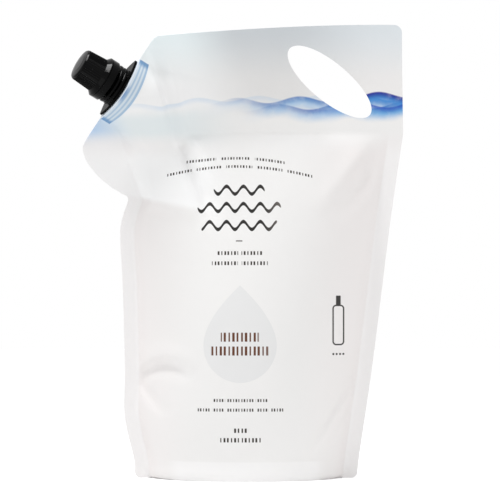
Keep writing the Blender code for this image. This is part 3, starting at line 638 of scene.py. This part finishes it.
class Print:
    """Simple printed shapes as masks of 0 and 1 with a soft edge."""

    def __init__(self, nodes, x, z, edge=0.18):
        self.nodes, self.x, self.z, self.edge = nodes, x, z, edge
        self.masks = []

    def add(self, mask):
        self.masks.append(mask)

    def distance_mask(self, distance):
        """1 where a distance is negative."""
        return self.nodes.ramp(distance, self.edge, -self.edge, smooth=False)

    def box(self, centre, half, radius, z=None):
        """Distance to a box with round corners, upright or along a bent height z."""
        n = self.nodes
        sides = []
        for value, middle, size in zip((self.x, z or self.z), centre, half):
            away = n.math("ABSOLUTE", n.math("SUBTRACT", value, middle))
            sides.append(n.math("SUBTRACT", away, size - radius))
        outside = [n.math("MAXIMUM", side, 0.0) for side in sides]
        corner = n.math("SQRT", n.total(n.product(outside[0], outside[0]),
                                        n.product(outside[1], outside[1])))
        inner = n.math("MINIMUM", n.math("MAXIMUM", *sides), 0.0)
        return n.math("SUBTRACT", n.total(corner, inner), radius)

    def outline_box(self, centre, half, radius, line):
        distance = self.box(centre, half, radius)
        away = self.nodes.math("ABSOLUTE", distance)
        self.add(self.distance_mask(self.nodes.math("SUBTRACT", away, line / 2)))

    def solid_box(self, centre, half, radius):
        self.add(self.distance_mask(self.box(centre, half, radius)))

    def stroke_row(self, centre, length, height, pitch, groups=1, bend=0.0, tilt=0.0):
        """A row of upright strokes in a number of groups, level or along an arch."""
        n = self.nodes
        x = n.math("SUBTRACT", self.x, centre[0])
        z = self.z
        if bend:
            z = n.total(z, n.product(x, x, 0.5 / bend), n.product(x, tilt))
        band = self.box(centre, (length / 2, height / 2), 0.3, z=z)
        beat = n.math("COSINE", n.product(x, math.tau / pitch))
        slow = n.math("COSINE", n.product(x, math.tau / (pitch * 2.7)))
        stroke = n.ramp(n.total(beat, n.product(slow, 0.45)), 0.1, -0.25)
        gap = n.math("COSINE", n.total(n.product(x, math.tau * groups / length), math.pi * groups))
        stroke = n.product(stroke, n.ramp(gap, 0.95, 0.88))
        self.add(n.product(self.distance_mask(band), stroke))

    def wave_line(self, centre, length, height, swing, pitch):
        """One thick line of even waves with round ends."""
        n = self.nodes
        x = n.math("SUBTRACT", self.x, centre[0])
        lift = n.product(n.math("SINE", n.product(x, math.tau / pitch)), swing)
        z = n.math("SUBTRACT", self.z, lift)
        self.add(self.distance_mask(self.box(centre, (length / 2, height / 2), height / 2, z=z)))

    def ink(self):
        """All the shapes as one mask."""
        result = self.masks[0]
        for mask in self.masks[1:]:
            result = self.nodes.math("MAXIMUM", result, mask)
        return result


def drop_mask(nodes, x, z, centre, radius, rise):
    """A drop: round below its middle, drawn out to a tip above it."""
    n = nodes
    up = n.product(n.math("SUBTRACT", z, centre[1]), 1 / rise)
    tip = n.math("MINIMUM", n.math("MAXIMUM", up, 0.0), 1.0)
    upper = n.product(n.math("SUBTRACT", 1.0, tip), n.math("SQRT", n.total(n.product(tip, 2.0), 1.0)))
    down = n.product(n.math("MINIMUM", n.math("SUBTRACT", z, centre[1]), 0.0), 1 / radius)
    lower = n.math("SQRT", n.math("MAXIMUM", n.math("SUBTRACT", 1.0, n.product(down, down)), 0.0))
    half = n.product(upper, lower, radius)
    away = n.math("ABSOLUTE", n.math("SUBTRACT", x, centre[0]))
    return n.ramp(n.math("SUBTRACT", half, away), 0.05, 0.6)


WAVE_LENGTH = 47.0
# Each wave: level, slope and swing of its crest, its phase, how far down it fades, where along X
# it starts and is full, its strength, and its colours at the crest and below
WAVES = (
    (284.5, 0.012, 1.9, 0.4, 8.0, -120, -60, 0.3, (160, 196, 230), (236, 242, 247)),
    (283.0, 0.020, 2.3, 2.5, 13.0, -35, 35, 0.90, (62, 122, 190), (152, 192, 228)),
    (277.5, 0.020, 2.3, 4.6, 12.0, -10, 60, 0.85, (30, 98, 180), (136, 184, 226)),
    (283.5, 0.035, 2.6, 0.9, 15.0, 52, 82, 1.0, (4, 34, 146), (48, 134, 208)),
    (276.5, 0.035, 2.4, 3.0, 12.0, 40, 92, 0.95, (14, 80, 184), (90, 164, 220)),
)


def sky_print_and_shade(nodes, x, z):
    """Grey printed sky, darkest at the top of its middle and paler towards both sides; that darker
    middle and the paler sides are partly painted shade of the header's bend.
    """
    n = nodes
    upper = n.ramp(z, 292, 338)
    middle = n.blend(upper, srgb(228, 227, 226), srgb(206, 211, 215))
    right = n.blend(upper, srgb(238, 236, 235), srgb(226, 232, 236))
    left = n.blend(upper, srgb(244, 244, 244), srgb(238, 248, 250))
    # Partly painted shade: darker in the middle and paler at the sides, as the bent header is lit
    colour = n.blend(n.ramp(x, 20, 105), middle, right)
    return n.blend(n.ramp(n.total(x, n.product(z, 0.35)), 112, 58), colour, left)


def swell_colour(nodes, colour, place, x, z):
    """Rolling waves over a colour, deep blue at the right and pale at the left."""
    n = nodes
    wash = n.noise(place, 0.11, detail=4, roughness=0.6)
    for crest, slope, swing, phase, fade, start, full, strength, top, low in WAVES:
        roll = n.math("SINE", n.total(n.product(x, math.tau / WAVE_LENGTH), phase))
        height = n.total(n.product(x, slope), n.product(roll, swing), crest)
        below = n.math("SUBTRACT", height, z)
        mask = n.product(n.ramp(below, -0.5, 0.7), n.ramp(below, fade, fade * 0.2))
        thin = n.total(0.7, n.product(n.ramp(wash, 0.25, 0.6), 0.3))
        mask = n.product(mask, n.ramp(x, start, full), thin, strength)
        colour = n.blend(mask, colour, n.blend(n.ramp(below, 0.5, 6.0), srgb(*top), srgb(*low)))
    return colour


def header_colour(nodes, place, x, z):
    """The printed header: sky with some painted shade, a haze below it at the left, a blue ear and
    the swell.
    """
    n = nodes
    mist = n.noise(place, 0.03, detail=4)
    level = n.total(z, n.product(n.math("SUBTRACT", mist, 0.5), 10.0))
    colour = n.blend(n.ramp(level, 268, 282), BODY_WHITE, sky_print_and_shade(n, x, z))
    haze = n.product(n.ramp(x, 5, -60), n.ramp(level, 247, 262), n.ramp(level, 282, 270), 0.55)
    colour = n.blend(haze, colour, srgb(216, 230, 234))
    ear = n.product(n.ramp(n.total(x, n.product(z, 0.5)), 48, 8), n.ramp(level, 240, 266),
                    n.ramp(z, 290, 272), 0.85)
    colour = n.blend(ear, colour, srgb(168, 202, 240))
    return swell_colour(n, colour, place, x, z)


# Rows of strokes: centre, length, height, pitch and number of groups
ARCHED_ROWS = (
    ((-8, 239.0), 78, 2.0, 2.2, 3),
    ((-5, 232.5), 112, 2.0, 2.2, 5),
)
ARCH_RADIUS = 230
ARCH_TILT = 0.02
LEVEL_ROWS = (
    ((-4.5, 167.5), 36, 2.8, 2.4, 2),
    ((-4.5, 160.0), 44, 2.8, 2.4, 2),
    ((-4, 59.5), 42, 2.2, 2.0, 4),
    ((-4, 52.5), 64, 2.2, 2.0, 6),
    ((-4, 37.5), 12, 3.2, 2.6, 2),
    ((-4, 30.5), 32, 3.2, 2.6, 2),
)
BROWN_ROWS = (
    ((-4.5, 105.7), 32, 6.6, 3.1, 1),
    ((-4.5, 95.6), 48, 6.6, 3.1, 1),
)
# Title: level and length of each wave line
TITLE_X = -5
TITLE_WAVES = ((214.5, 38), (201.5, 62), (188.0, 56))
BOTTLE_X = 68.5
DROP_CENTRE = (-4.3, 99.5)
DROP_RADIUS = 27.2
DROP_RISE = 44.5


def small_marks(nodes, x, z):
    """Rows of small strokes in place of words, and a dash below the title."""
    small = Print(nodes, x, z)
    for row in ARCHED_ROWS:
        small.stroke_row(*row, bend=ARCH_RADIUS, tilt=ARCH_TILT)
    for row in LEVEL_ROWS:
        small.stroke_row(*row)
    small.solid_box((TITLE_X, 176.5), (2.4, 0.4), 0.3)
    return small.ink()


def title_marks(nodes, x, z):
    """Thick wave lines, and at the right a plain bottle over four dots."""
    title = Print(nodes, x, z)
    for level, length in TITLE_WAVES:
        title.wave_line((TITLE_X, level), length, 2.8, 2.9, 12.5)
    title.outline_box((BOTTLE_X, 114.5), (4.0, 14.5), 2.4, 1.1)
    title.solid_box((BOTTLE_X, 132.5), (1.8, 3.8), 0.5)
    for step in range(4):
        title.solid_box((BOTTLE_X - 3.8 + 2.55 * step, 93.0), (0.8, 0.8), 0.8)
    return title.ink()


def brown_marks(nodes, x, z):
    """Two rows of tall strokes on the drop."""
    brown = Print(nodes, x, z)
    for row in BROWN_ROWS:
        brown.stroke_row(*row)
    return brown.ink()


def printed(nodes, colour, front, x, z):
    """A drop and generic marks over the colour of the front."""
    n = nodes
    drop = drop_mask(n, x, z, DROP_CENTRE, DROP_RADIUS, DROP_RISE)
    colour = n.blend(n.product(drop, front), colour, DROP_GREY)
    colour = n.blend(n.product(small_marks(n, x, z), front), colour, SMALL_INK)
    fading = n.product(n.ramp(x, 10, 30), n.ramp(x, 60, 50))
    title_ink = n.blend(fading, TITLE_INK, FADED_INK)
    colour = n.blend(n.product(title_marks(n, x, z), front), colour, title_ink)
    return n.blend(n.product(brown_marks(n, x, z), front), colour, BROWN_INK)


def weld_colour(nodes, colour, x, z):
    """The steel-blue weld over the boat: pale ribs lengthwise, a darker border and ends."""
    n = nodes
    x, z = n.math("SUBTRACT", x, SPOUT_MIDDLE[0]), n.math("SUBTRACT", z, SPOUT_MIDDLE[1])
    along = n.total(n.product(x, SPOUT_ALONG[0]), n.product(z, SPOUT_ALONG[1]))
    along = n.product(n.math("ABSOLUTE", along), 1 / WELD_HALF_LENGTH)
    inward = n.total(n.product(x, SPOUT_INWARD[0]), n.product(z, SPOUT_INWARD[1]))
    width = n.math("SUBTRACT", WELD_WIDTH + WELD_BULGE, n.product(along, along, WELD_BULGE))
    share = n.math("DIVIDE", inward, width)
    over_boat = n.product(n.ramp(along, 1.0, 0.975), n.ramp(share, 1.0, 0.95))
    ribs = n.math("COSINE", n.product(share, math.tau * WELD_RIBS))
    steel = n.blend(n.ramp(ribs, -0.7, 0.9), srgb(208, 220, 230), srgb(164, 190, 214))
    steel = n.blend(n.product(n.ramp(share, 0.84, 0.9), 0.7), steel, srgb(140, 178, 214))
    shadow = n.product(n.ramp(along, 0.36, 0.05), n.ramp(share, 0.42, 0.12), 0.9)
    steel = n.blend(shadow, steel, srgb(84, 134, 186))
    steel = n.blend(n.product(n.ramp(along, 0.82, 0.94), 0.9), steel, srgb(86, 140, 190))
    steel = n.blend(n.ramp(share, 0.09, 0.05), steel, srgb(226, 236, 246))
    return n.blend(n.product(over_boat, 0.95), colour, steel)


def film_white(nodes, colour, x, z, inside_seals):
    """Painted light and shade on the white film: a painted highlight on the shoulder, paler seals and
    bottom seal that are partly their own tone and partly painted light, warmer towards the sides, and
    painted shade just inside the seals.
    """
    n = nodes
    above_neck = n.ramp(n.total(z, n.product(x, 0.2)), 190, 196)
    # Painted highlight: the film above the neck is painted paler for the light on it
    painted_shoulder_light = n.product(above_neck, n.ramp(z, 262, 236), n.ramp(x, -5, -45))
    colour = n.blend(painted_shoulder_light, colour, SHOULDER_PAINTED_LIGHT)
    below_header = n.ramp(z, 262, 240)
    filled = n.product(below_header, n.math("SUBTRACT", 1.0, painted_shoulder_light))
    away = n.math("ABSOLUTE", x)
    colour = n.blend(n.product(filled, n.ramp(away, 30, 92)), colour, WARM_WHITE)
    # Painted shade in the crease just inside the side seals
    colour = n.blend(n.product(filled, n.ramp(inside_seals, 9.0, 2.0)), colour, SEAL_CREASE_SHADE)
    # Paler seals and bottom seal: partly their own tone, partly painted rim light and a painted lit
    # band
    seal = n.product(n.ramp(inside_seals, 1.0, -0.8), below_header, 0.7)
    skirt = n.product(n.ramp(z, SKIRT_HEIGHT, SKIRT_HEIGHT - 1.5), n.ramp(away, 60, 48), 0.7)
    return n.blend(n.math("MAXIMUM", seal, skirt), colour, SEAL_TONE_AND_RIM_LIGHT)


def film_material():
    """Matt white film: printed front, plain back, a steel-blue weld over the black boat."""
    material = bpy.data.materials.new("printed_film")
    n = Nodes(material)
    place = n.object_place()
    x, z, inside_seals = n.parts(
        n.new("ShaderNodeAttribute", attribute_name="film_place").outputs["Vector"])
    facing = n.parts(n.new("ShaderNodeTexCoord").outputs["Normal"])
    front = n.ramp(facing[1], 0.02, -0.02)

    colour = header_colour(n, place, x, z)
    colour = film_white(n, colour, x, z, inside_seals)
    colour = printed(n, colour, front, x, z)
    colour = weld_colour(n, colour, x, z)
    n.put(n.shader.inputs["Base Color"], colour)

    grain = n.noise(place, 0.9, detail=3)
    n.put(n.shader.inputs["Roughness"], n.total(0.36, n.product(grain, 0.16)))
    n.shader.inputs["Specular IOR Level"].default_value = 0.45
    soft = n.bump(n.noise(place, 0.045, detail=2), 0.9 * MM, 0.5)
    fine = n.bump(grain, 0.05 * MM, 0.4, soft)
    n.put(n.shader.inputs["Normal"], fine)
    return material


def black_plastic(name, roughness, specular, grain_scale):
    """Moulded black plastic with a faint uneven gloss."""
    material = bpy.data.materials.new(name)
    n = Nodes(material)
    grain = n.noise(n.object_place(), grain_scale, detail=3)
    colour = n.blend(grain, (0.0010, 0.0010, 0.0011), (0.0022, 0.0022, 0.0025))
    n.put(n.shader.inputs["Base Color"], colour)
    n.put(n.shader.inputs["Roughness"], n.total(roughness, n.product(grain, 0.04)))
    n.shader.inputs["Specular IOR Level"].default_value = specular
    n.put(n.shader.inputs["Normal"], n.bump(grain, 0.02 * MM, 0.3))
    return material


# Pieces

def add_piece(name, mesh, material, body, replaced):
    """A piece that rides on a body and is shown in place of a node."""
    piece = bpy.data.objects.new(name, mesh)
    bpy.context.scene.collection.objects.link(piece)
    mesh.materials.append(material)
    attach(piece, body)
    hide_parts(replaced)


def dress_node(node, material):
    """A finer material on a CAD node that is shown as it is."""
    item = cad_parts[node]
    if not item.data.materials:
        item.data.materials.append(material)
    for place in item.material_slots:
        place.material = material


def build_pack():
    """The film in place of the solid pouch, and finer plastics on the mouldings."""
    add_piece("film_pack", film_mesh(), film_material(), "pack", "pouch")
    satin = black_plastic("satin_black", 0.16, 0.04, 0.8)
    gloss = black_plastic("gloss_black", 0.05, 0.06, 0.5)
    dress_node("spout", satin)
    dress_node("tamper_band", gloss)
    dress_node("cap", gloss)


# Floor, light and camera

WHITE = (1.0, 1.0, 1.0, 1.0)
FLOOR_COLOUR = (0.93, 0.93, 0.93, 1.0)
FLOOR_GLOW = 0.43
AMBIENT = 0.64
MIDDLE = (0.0, 0.0, 0.17)
# Soft boxes: name, place, width and height in metres, and power in watts
SOFT_BOXES = (
    ("left_softbox", (-1.5, -0.6, 0.8), (0.7, 1.0), 2.2),
    ("front_fill", (0.5, -1.7, 0.15), (0.9, 0.5), 2.1),
    ("right_softbox", (1.5, -0.6, 0.6), (0.7, 1.2), 3.4),
)
# A narrow lamp over the cap, for the bright patch along its side
STRIP_OFFSET = Vector((-0.3, -0.16, 0.94)) * 0.62
STRIP_SIZE = (0.12, 0.35)
STRIP_POWER = 3.4
STRIP_ALONG = (0.32, 0.91, 0.26)


def seen_by(tree, *kinds):
    """A socket that is 1 for rays of any of the named kinds."""
    path = tree.nodes.new("ShaderNodeLightPath")
    share = path.outputs[kinds[0]]
    for kind in kinds[1:]:
        either = tree.nodes.new("ShaderNodeMath")
        either.operation = "MAXIMUM"
        tree.links.new(share, either.inputs[0])
        tree.links.new(path.outputs[kind], either.inputs[1])
        share = either.outputs[0]
    return share


def mixed(tree, share, first, second):
    """The first shader where the share is 0 and the second where it is 1."""
    mix = tree.nodes.new("ShaderNodeMixShader")
    for socket, value in zip(mix.inputs, (share, first, second)):
        tree.links.new(value, socket)
    return mix.outputs[0]


def floor_material():
    """White to the camera and in reflections, but with the object's shadow kept."""
    material = bpy.data.materials.new("floor")
    material.use_nodes = True
    tree = material.node_tree
    shader = tree.nodes["Principled BSDF"]
    shader.inputs["Base Color"].default_value = FLOOR_COLOUR
    shader.inputs["Roughness"].default_value = 0.8
    shader.inputs["Specular IOR Level"].default_value = 0.0
    glow = tree.nodes.new("ShaderNodeEmission")
    glow.inputs["Color"].default_value = WHITE
    glow.inputs["Strength"].default_value = FLOOR_GLOW
    glowing = tree.nodes.new("ShaderNodeAddShader")
    tree.links.new(shader.outputs[0], glowing.inputs[0])
    tree.links.new(glow.outputs[0], glowing.inputs[1])
    seen = seen_by(tree, "Is Camera Ray", "Is Glossy Ray")
    surface = mixed(tree, seen, shader.outputs[0], glowing.outputs[0])
    tree.links.new(surface, tree.nodes["Material Output"].inputs["Surface"])
    return material


def build_floor():
    bpy.ops.mesh.primitive_plane_add(size=12)
    floor = bpy.context.object
    floor.name = "floor"
    floor.data.materials.append(floor_material())


def build_world():
    """Soft grey light all round, seen as white by the camera and in reflections."""
    world = bpy.data.worlds.new("studio")
    bpy.context.scene.world = world
    world.use_nodes = True
    tree = world.node_tree
    ambient = tree.nodes["Background"]
    backdrop = tree.nodes.new("ShaderNodeBackground")
    for light, strength in ((ambient, AMBIENT), (backdrop, 1.0)):
        light.inputs["Color"].default_value = WHITE
        light.inputs["Strength"].default_value = strength
    seen = seen_by(tree, "Is Camera Ray", "Is Glossy Ray", "Is Transmission Ray")
    surface = mixed(tree, seen, ambient.outputs[0], backdrop.outputs[0])
    tree.links.new(surface, tree.nodes["World Output"].inputs["Surface"])


def add_lamp(name, place, target, size, power, along=(0, 0, 1)):
    """A soft box that looks at its target, with its height in the direction of along."""
    lamp = bpy.data.lights.new(name, "AREA")
    lamp.shape = "RECTANGLE"
    lamp.size, lamp.size_y = size
    lamp.energy = power
    item = bpy.data.objects.new(name, lamp)
    bpy.context.scene.collection.objects.link(item)
    backwards = (Vector(place) - Vector(target)).normalized()
    sideways = Vector(along).cross(backwards).normalized()
    axes = Matrix((sideways, backwards.cross(sideways), backwards)).transposed()
    item.matrix_world = Matrix.Translation(place) @ axes.to_4x4()


def build_lamps():
    """Three soft boxes around the pack and a narrow lamp over the cap."""
    for name, place, size, power in SOFT_BOXES:
        add_lamp(name, place, MIDDLE, size, power)
    low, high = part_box("cap")
    cap_middle = (Vector(low) + Vector(high)) / 2
    place = cap_middle + STRIP_OFFSET
    add_lamp("strip", place, cap_middle, STRIP_SIZE, STRIP_POWER, STRIP_ALONG)


def build_camera():
    """A long lens at table height, level with the pack's lower half."""
    distance, height = 1.8, 0.125
    target = Vector((0.003, 0.0, 0.1706))
    view_width = 0.375
    lens = bpy.data.cameras.new("camera")
    lens.sensor_width = 36
    lens.lens = lens.sensor_width * distance / view_width
    camera = bpy.data.objects.new("camera", lens)
    bpy.context.scene.collection.objects.link(camera)
    camera.location = (target.x, -distance, height)
    camera.rotation_euler = (target - camera.location).to_track_quat("-Z", "Y").to_euler()
    bpy.context.scene.camera = camera


build_camera()
build_pack()
build_floor()
build_world()
build_lamps()
bpy.context.scene.view_settings.view_transform = "Standard"
